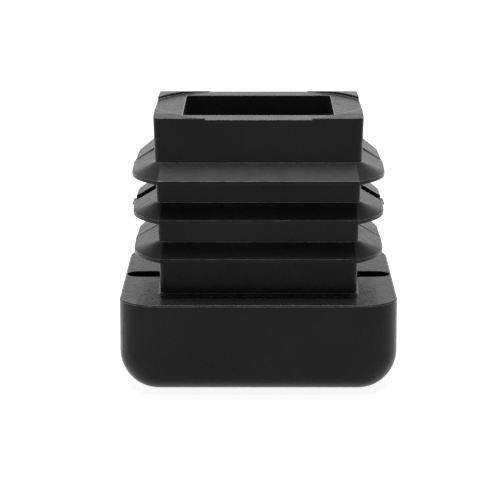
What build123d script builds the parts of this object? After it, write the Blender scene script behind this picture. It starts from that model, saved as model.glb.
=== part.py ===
from build123d import *
import os
from math import radians, tan

# Ribbed end cap for a square tube, moulded in one piece.
# It stands on its outer face, with the finned stem pointing up (+Z).
# The two mould halves part on the plane Y = 0 and open along Y.
# Sizes are in millimetres, and the origin is the centre of the outer face.

# The tube that the cap closes
tube_side = 30.0              # outside width of the square tube
tube_wall = 1.5               # wall thickness of the tube

# Head: the block that shows at the end of the tube
head_height = 10.0
head_corner_radius = 4.3      # upright corners, seen from above
head_base_radius = 4.2        # rounding from the sides to the outer face
head_edge = 0.15              # bevel between the sides and the shoulder

# Stem: the hollow column inside the tube
stem_height = 19.3            # above the shoulder
stem_side_clearance = 2.75    # left and right, from the stem's root to the tube's inner wall
stem_front_clearance = 3.15   # front and back, from the stem's root to the tube's inner wall
stem_side_flare = 0.63        # how much further left and right stand out at the top
stem_front_flare = 0.35       # how much further front and back stand out at the top
stem_corner_radius = 0.9
stem_root = 0.25              # bevel where the stem meets the shoulder
stem_wall = 3.2               # at the top

# Fins: thin frames that grip the tube's inner wall
fin_count = 3
fin_rise = 4.37               # top of the lowest fin's rim above the shoulder
fin_pitch = 4.33
fin_rim = 0.4                 # height of the upright rim
fin_drop = 1.6                # fall of a fin's upper face from the stem to the rim
fin_grip = 0.33               # how far the top fin stands past the inner wall, left and right
fin_front_gap = 0.65          # how far the top fin stays clear of it, front and back
fin_side_step = 0.05          # each lower fin is this much shorter, left and right
fin_front_step = 0.4          # each lower fin is this much shorter, front and back
fin_corner_radius = 9.5
fin_corner_cut = 2.55         # front and back cut this much off the rounded corners
fin_root = 0.1                # share of the slope that runs on into the stem's wall

# Marks of the two-part mould
side_draft = 0.8              # slope of the sides out to the parting plane, in degrees
parting_step = 0.06           # the lowest fin's back half is this much higher and smaller than its front
                              # half, and each fin above adds as much
gate_fin = 1                  # the fin with the gates, counted from the lowest as 0
gate_width = 3.4              # slot that each gate leaves across the fin
gate_shift = 0.4              # centre of the slot behind the parting plane
gate_depth = 0.3              # floor of the slot below the top of the rim
gate_stub = 0.25              # how far the cut gate stands out from the rim

# Pocket: the blind hole down the stem
pocket_corner_radius = 0.4
pocket_draft = 0.3            # narrowing on each side from the mouth to the floor
pocket_floor = 4.0            # plastic left between the floor and the outer face

# Circular insert mark on top of the stem
witness_radius = 12.1
pad_height = 0.33             # rise of the four corner pads outside the mark
pad_margin = 2.4              # sloping band of the pads along the front and back edges
pad_front_height = 0.16       # what is left of the rise at the front edge
pad_back_height = 0.05        # and at the back edge

# Shoulder slots: one on the left and one on the right, with a round end
slot_width = 3.1
slot_shift = 0.4              # centre of the slots behind the parting plane
slot_depth = 1.3
slot_end_gap = 0.15           # shoulder left between the round end and the head's side

# Sizes that follow
tube_bore = tube_side - 2 * tube_wall
stem_root_width = tube_bore - 2 * stem_side_clearance
stem_root_depth = tube_bore - 2 * stem_front_clearance
stem_top_width = stem_root_width + 2 * stem_side_flare
stem_top_depth = stem_root_depth + 2 * stem_front_flare
stem_top = head_height + stem_height
top_fin_width = tube_bore + 2 * fin_grip
top_fin_depth = tube_bore - 2 * fin_front_gap


def plan_points(width, depth, height):
    """Corners of a rectangle whose left and right sides stand out at the parting plane."""
    out, y = width / 2, depth / 2
    x = out - y * tan(radians(side_draft))
    plan = [(x, -y), (out, 0), (x, y), (-x, y), (-out, 0), (-x, -y)]
    return [(*point, height) for point in plan]


def plan_outline(width, depth, radius, height):
    """The same rectangle with its corners rounded."""
    face = make_face(Polyline(*plan_points(width, depth, height), close=True))
    return fillet([v for v in face.vertices() if abs(v.Y) > depth / 4], radius)


def stem_size(height):
    """Width and depth of the tapered stem at a height above the outer face."""
    share = (height - head_height) / stem_height
    width = stem_root_width + 2 * stem_side_flare * share
    depth = stem_root_depth + 2 * stem_front_flare * share
    return width, depth


def make_head():
    """Block with rounded upright corners, a rounded base and a crisp shoulder edge."""
    block = extrude(RectangleRounded(tube_side, tube_side, head_corner_radius), head_height)
    block = fillet(block.edges().group_by(Axis.Z)[0], head_base_radius)
    return chamfer(block.edges().group_by(Axis.Z)[-1], head_edge)


def make_stem():
    """Column that flares slightly towards its top and starts inside the head."""
    low, high = [plan_points(*stem_size(z), z) for z in (pocket_floor, stem_top)]
    rings = [(low[i - 1], low[i], high[i], high[i - 1]) for i in range(len(low))]
    faces = [make_face(Polyline(*ring, close=True)).face() for ring in (*rings, low, high)]
    column = Solid(Shell(faces))
    upright = column.edges().filter_by(lambda edge: pocket_floor < edge.center().Z < stem_top)
    corners = [edge for edge in upright if abs(edge.center().Y) > stem_corner_radius]
    return fillet(corners, stem_corner_radius)


def join_stem(head, stem):
    """Head and stem as one body, with a small bevel round the stem's root."""
    body = head + stem
    level = body.edges().filter_by_position(Axis.Z, head_height - 0.01, head_height + 0.01)
    root = [e for e in level if max(abs(e.center().X), abs(e.center().Y)) < tube_bore / 2]
    return chamfer(root, stem_root)


def fin_outline(width, depth, height):
    """Frame with wide round corners, cut flat at the front and the back."""
    full = plan_outline(width, depth + 2 * fin_corner_cut, fin_corner_radius, height)
    return full & Pos(0, 0, height) * Rectangle(2 * width, depth)


def make_fin(rim_top, width, depth):
    """Frame round the stem: a sloping upper face, an upright rim and a flat underside."""
    outline = fin_outline(width, depth, rim_top)
    stem_width, stem_depth = stem_size(rim_top + fin_drop)
    inner_width = stem_width - fin_root * (width - stem_width)
    inner_depth = stem_depth - fin_root * (depth - stem_depth)
    inner_top = rim_top + fin_drop * (1 + fin_root)
    inner = plan_outline(inner_width, inner_depth, stem_corner_radius / 2, inner_top)
    rim = extrude(Pos(0, 0, -fin_rim) * outline, fin_rim, dir=(0, 0, 1))
    return rim + loft([outline, inner], ruled=True)


def half_of(shape, side):
    """Part of a shape in front of the parting plane (side -1) or behind it (side 1)."""
    room = Box(2 * tube_side, tube_side, 2 * stem_top)
    return shape & Pos(0, side * tube_side / 2, stem_top / 2) * room


def make_stepped_fin(rim_top, width, depth, step):
    """Fin whose back half, from the other mould half, is a step higher and smaller."""
    back = make_fin(rim_top + step, width - 2 * step, depth - 2 * step)
    return half_of(make_fin(rim_top, width, depth), -1) + half_of(back, 1)


def cut_gates(fin, rim_top, width):
    """Level slots across the fin's left and right, with the stub of each cut gate."""
    floor = rim_top - gate_depth
    length = width / 2 + gate_stub
    height = gate_depth + fin_drop + 1
    slot = Pos(0, gate_shift, floor + height / 2) * Box(2 * length, gate_width, height)
    stub = Pos(0, gate_shift, floor - (fin_rim - gate_depth) / 2)
    return fin - slot + stub * Box(2 * length, gate_width, fin_rim - gate_depth)


def add_fins(body):
    for index in range(fin_count):
        below_top = fin_count - 1 - index
        rim_top = head_height + fin_rise + index * fin_pitch
        width = top_fin_width - 2 * fin_side_step * below_top
        depth = top_fin_depth - 2 * fin_front_step * below_top
        if index == gate_fin:
            body += cut_gates(make_fin(rim_top, width, depth), rim_top, width)
        else:
            body += make_stepped_fin(rim_top, width, depth, parting_step * (index + 1))
    return body


def make_pads(stem):
    """Four corner pads outside the circular mark, falling to the front and back edges."""
    edge = stem_top_depth / 2
    level = edge - pad_margin
    top = [(-edge, pad_front_height), (-level, pad_height), (level, pad_height), (edge, pad_back_height)]
    side = Plane.YZ * make_face(Polyline(*top, (edge, -1), (-edge, -1), close=True))
    block = Pos(0, 0, stem_top) * extrude(side, stem_top_width, both=True)
    top = stem.faces().sort_by(Axis.Z)[-1]
    pads = block & extrude(top, pad_height + 1, dir=(0, 0, 1))
    return pads - Pos(0, 0, stem_top) * Cylinder(witness_radius, 4)


def make_pocket():
    """Space of the blind hole, a little narrower at its floor."""
    width = stem_top_width - 2 * stem_wall
    depth = stem_top_depth - 2 * stem_wall
    narrowing = 2 * pocket_draft
    mouth = Pos(0, 0, stem_top) * RectangleRounded(width, depth, pocket_corner_radius)
    floor = RectangleRounded(width - narrowing, depth - narrowing, pocket_corner_radius)
    return loft([Pos(0, 0, pocket_floor) * floor, mouth], ruled=True)


def make_slots(stem):
    """Round-ended slots in the shoulder, running out from the stem to the left and right."""
    reach = tube_side / 2 - slot_end_gap
    plan = Rectangle(2 * (reach - slot_width / 2), slot_width)
    for side in (-1, 1):
        plan += Pos(side * (reach - slot_width / 2), 0) * Circle(slot_width / 2)
    return Pos(0, slot_shift, head_height - slot_depth) * extrude(plan, slot_depth + 1) - stem


def make_cap():
    stem = make_stem()
    cap = join_stem(make_head(), stem) - make_slots(stem)
    cap = add_fins(cap) + make_pads(stem)
    return cap - make_pocket()


end_cap = make_cap()
os.makedirs("parts", exist_ok=True)
export_step(end_cap, "parts/end_cap.step")
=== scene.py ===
from math import pi

import bpy
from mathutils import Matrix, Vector

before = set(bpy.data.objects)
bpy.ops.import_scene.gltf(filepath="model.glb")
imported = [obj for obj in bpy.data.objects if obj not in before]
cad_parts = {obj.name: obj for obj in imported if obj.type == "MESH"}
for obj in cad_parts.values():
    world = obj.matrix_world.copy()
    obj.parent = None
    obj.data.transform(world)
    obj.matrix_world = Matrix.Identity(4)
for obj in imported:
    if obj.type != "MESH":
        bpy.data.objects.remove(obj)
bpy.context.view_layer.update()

# Looks of a ribbed tube end cap, moulded in near-black plastic.
# It stands on a plain pale floor under soft studio light. Lengths are in metres.

# Camera: in front, a little above, with a long lens
focal_px = 2263.2             # focal length in pixels of the square frame
frame_px = 500
sensor_width = 36.0           # in millimetres
camera_distance = 0.248907    # in front of the cap's axis
camera_height = 0.066216
camera_pitch = 0.2112         # radians below level
axis_px = 258.48              # column of the cap's axis
clip_start = 0.01

# Light
world_back = 0.35             # what the walls and ceiling behind the cap send out
world_front = 0.08            # the darker room in front of it
world_turn = (-0.5, 0.2)      # from front to back, where one goes over to the other
lamp_place = Vector((0, 0.015, 0.30))
lamp_aim = Vector((0, 0, 0.015))
lamp_size = (0.22, 0.15)
lamp_watts = 0.92
floor_side = 4
floor_paint = 0.6             # share of light that the floor sends back
floor_glow = 0.9              # added where the floor is seen, so that its shadow stays faint
white = (1, 1, 1, 1)

# Plastic
plastic_dark = (0.0195, 0.0195, 0.0198, 1)
plastic_light = (0.0285, 0.0285, 0.0288, 1)
# painted highlight colour for the edges that face up or sideways
plastic_highlight_colour = (0.40, 0.40, 0.403, 1)
roughness_range = (0.22, 0.32)
refraction = 1.5
specular_level = 0.07

# Its noises: flow marks, then uneven gloss with low lumps, then the spark-eroded grain
flow_noise = {"size": 0.009, "detail": 3, "roughness": 0.55}
mottle_noise = {"size": 0.0011, "detail": 4, "roughness": 0.65}
grain_noise = {"size": 0.00022, "detail": 3, "roughness": 0.7}
mottle_bump = {"distance": 0.00004, "strength": 0.4}
grain_bump = {"distance": 0.00002, "strength": 0.8}
noise_reach = (0.3, 0.7)      # values that a noise seldom passes

# Its painted edge highlights: a pale colour painted along the edges, with a glossy coat
# there
edge_radius = 0.00014         # what a moulded edge has
edge_samples = 8
edge_turn = (0.98, 0.92)      # cosines of the bend, from no painted highlight to full
edge_patches = (0.35, 0.65)   # values of the mottle, from the faintest painted highlight to the strongest
edge_highlight_range = (0.5, 1.0)        # faintest and strongest painted highlight in those patches
edge_up = (-0.3, 0.3)         # upward slopes over which the painted highlight sets in, as light falls from above
edge_coat_roughness = 0.2     # gloss of the coat on the highlighted edges


def node(tree, kind, inputs=None, **settings):
    """Add a node, with its settings and the values or links of its inputs."""
    made = tree.nodes.new(kind)
    for name, value in settings.items():
        setattr(made, name, value)
    for name, value in (inputs or {}).items():
        if isinstance(value, bpy.types.NodeSocket):
            tree.links.new(value, made.inputs[name])
        else:
            made.inputs[name].default_value = value
    return made


def noise(tree, place, size, detail, roughness):
    """Noise whose largest lumps are about size metres across."""
    inputs = {"Vector": place, "Scale": 1 / size, "Detail": detail, "Roughness": roughness}
    return node(tree, "ShaderNodeTexNoise", inputs).outputs["Fac"]


def spread(tree, value, start, end):
    """The value's range in start, stretched to the range in end."""
    inputs = {"Value": value, "From Min": start[0], "From Max": start[1]}
    inputs.update({"To Min": end[0], "To Max": end[1]})
    return node(tree, "ShaderNodeMapRange", inputs).outputs["Result"]


def combine(tree, operation, first, second):
    """Result of a mathematical operation on two values."""
    made = node(tree, "ShaderNodeMath", {0: first, 1: second}, operation=operation)
    return made.outputs["Value"]


def mix_colours(tree, share, first, second):
    """Blend of two colours."""
    made = node(tree, "ShaderNodeMix", data_type="RGBA")
    factor, colour_a, colour_b = made.inputs[0], made.inputs[6], made.inputs[7]
    for value, socket in ((share, factor), (first, colour_a), (second, colour_b)):
        if isinstance(value, bpy.types.NodeSocket):
            tree.links.new(value, socket)
        else:
            socket.default_value = value
    return made.outputs[2]


def bump(tree, height, normal, distance, strength):
    """The normal, tilted by small lumps."""
    inputs = {"Height": height, "Distance": distance, "Strength": strength, "Normal": normal}
    return node(tree, "ShaderNodeBump", inputs).outputs["Normal"]


def painted_edge_highlight(tree, rounded, mottle):
    """Painted highlight along edges: only those that face up or sideways, strongest facing
    up, where light falls from above.
    """
    flat = node(tree, "ShaderNodeNewGeometry").outputs["Normal"]
    bend = node(tree, "ShaderNodeVectorMath", {0: rounded, 1: flat}, operation="DOT_PRODUCT")
    edge = spread(tree, bend.outputs["Value"], edge_turn, (0.0, 1.0))
    highlight_share = combine(tree, "MULTIPLY", edge, spread(tree, mottle, edge_patches, edge_highlight_range))
    # the painted highlight is weighted towards edges that face up, towards the light
    up = node(tree, "ShaderNodeSeparateXYZ", {"Vector": rounded}).outputs["Z"]
    return combine(tree, "MULTIPLY", highlight_share, spread(tree, up, edge_up, (0.0, 1.0)))


def moulded_plastic():
    """Near-black satin plastic with a spark-eroded grain, flow marks and a painted highlight
    along its edges.
    """
    material = bpy.data.materials.new("moulded_plastic")
    material.use_nodes = True
    tree = material.node_tree
    shader = tree.nodes["Principled BSDF"]
    place = node(tree, "ShaderNodeTexCoord").outputs["Object"]
    flow = noise(tree, place, **flow_noise)
    mottle = noise(tree, place, **mottle_noise)
    grain = noise(tree, place, **grain_noise)

    bevel = node(tree, "ShaderNodeBevel", {"Radius": edge_radius}, samples=edge_samples)
    rounded = bevel.outputs["Normal"]
    lumpy = bump(tree, mottle, rounded, **mottle_bump)
    grainy = bump(tree, grain, lumpy, **grain_bump)

    tone = spread(tree, flow, noise_reach, (0.0, 1.0))
    body = mix_colours(tree, tone, plastic_dark, plastic_light)
    painted_highlight = painted_edge_highlight(tree, rounded, mottle)
    # painted highlight: edges facing up are lightened towards a pale colour
    colour = mix_colours(tree, painted_highlight, body, plastic_highlight_colour)

    tree.links.new(colour, shader.inputs["Base Color"])
    roughness = spread(tree, mottle, noise_reach, roughness_range)
    tree.links.new(roughness, shader.inputs["Roughness"])
    tree.links.new(grainy, shader.inputs["Normal"])
    # the painted highlight mask also puts a glossy coat on those edges
    tree.links.new(painted_highlight, shader.inputs["Coat Weight"])
    shader.inputs["Coat Roughness"].default_value = edge_coat_roughness
    shader.inputs["IOR"].default_value = refraction
    shader.inputs["Specular IOR Level"].default_value = specular_level
    return material


def seen_directly(tree):
    """1 for what the camera, a reflection or clear material sees, 0 for light on things."""
    path = node(tree, "ShaderNodeLightPath").outputs
    seen = combine(tree, "MAXIMUM", path["Is Camera Ray"], path["Is Glossy Ray"])
    return combine(tree, "MAXIMUM", seen, path["Is Transmission Ray"])


def make_floor():
    """A wide white floor that keeps the cap's shadow."""
    material = bpy.data.materials.new("studio_floor")
    material.use_nodes = True
    tree = material.node_tree
    tree.nodes.remove(tree.nodes["Principled BSDF"])
    paint_colour = (floor_paint, floor_paint, floor_paint, 1)
    paint = node(tree, "ShaderNodeBsdfDiffuse", {"Color": paint_colour}).outputs["BSDF"]
    glow = node(tree, "ShaderNodeEmission", {"Color": white, "Strength": floor_glow})
    lit = node(tree, "ShaderNodeAddShader", {0: paint, 1: glow.outputs["Emission"]})
    inputs = {0: seen_directly(tree), 1: paint, 2: lit.outputs["Shader"]}
    mix = node(tree, "ShaderNodeMixShader", inputs)
    tree.links.new(mix.outputs["Shader"], tree.nodes["Material Output"].inputs["Surface"])
    bpy.ops.mesh.primitive_plane_add(size=floor_side)
    floor = bpy.context.object
    floor.name = "floor"
    floor.data.materials.append(material)


def light_world():
    """Light mostly from behind the cap, in a room that looks white all round."""
    world = bpy.data.worlds.new("studio")
    bpy.context.scene.world = world
    world.use_nodes = True
    tree = world.node_tree
    background = tree.nodes["Background"]
    direction = node(tree, "ShaderNodeTexCoord").outputs["Generated"]
    parts = node(tree, "ShaderNodeSeparateXYZ", {"Vector": direction})
    level = spread(tree, parts.outputs["Y"], world_turn, (world_front, world_back))
    strength = spread(tree, seen_directly(tree), (0.0, 1.0), (level, 1.0))
    background.inputs["Color"].default_value = white
    tree.links.new(strength, background.inputs["Strength"])


def add_lamp():
    """A wide soft lamp above the cap that the camera doesn't see."""
    light = bpy.data.lights.new("softbox", "AREA")
    light.shape = "RECTANGLE"
    light.size, light.size_y = lamp_size
    light.energy = lamp_watts
    lamp = bpy.data.objects.new("softbox", light)
    lamp.location = lamp_place
    lamp.rotation_euler = (lamp_place - lamp_aim).to_track_quat("Z", "Y").to_euler()
    lamp.visible_camera = False
    bpy.context.scene.collection.objects.link(lamp)


def add_camera():
    """The camera in front of the cap, looking slightly down."""
    data = bpy.data.cameras.new("camera")
    data.sensor_fit = "HORIZONTAL"
    data.sensor_width = sensor_width
    data.lens = focal_px * sensor_width / frame_px
    data.shift_x = -(axis_px - frame_px / 2) / frame_px
    data.clip_start = clip_start
    camera = bpy.data.objects.new("camera", data)
    camera.location = (0, -camera_distance, camera_height)
    camera.rotation_euler = (pi / 2 - camera_pitch, 0, 0)
    bpy.context.scene.collection.objects.link(camera)
    bpy.context.scene.camera = camera


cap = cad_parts["end_cap"]
cap.data.materials.clear()
cap.data.materials.append(moulded_plastic())

make_floor()
light_world()
add_lamp()
add_camera()
bpy.context.scene.view_settings.view_transform = "Standard"
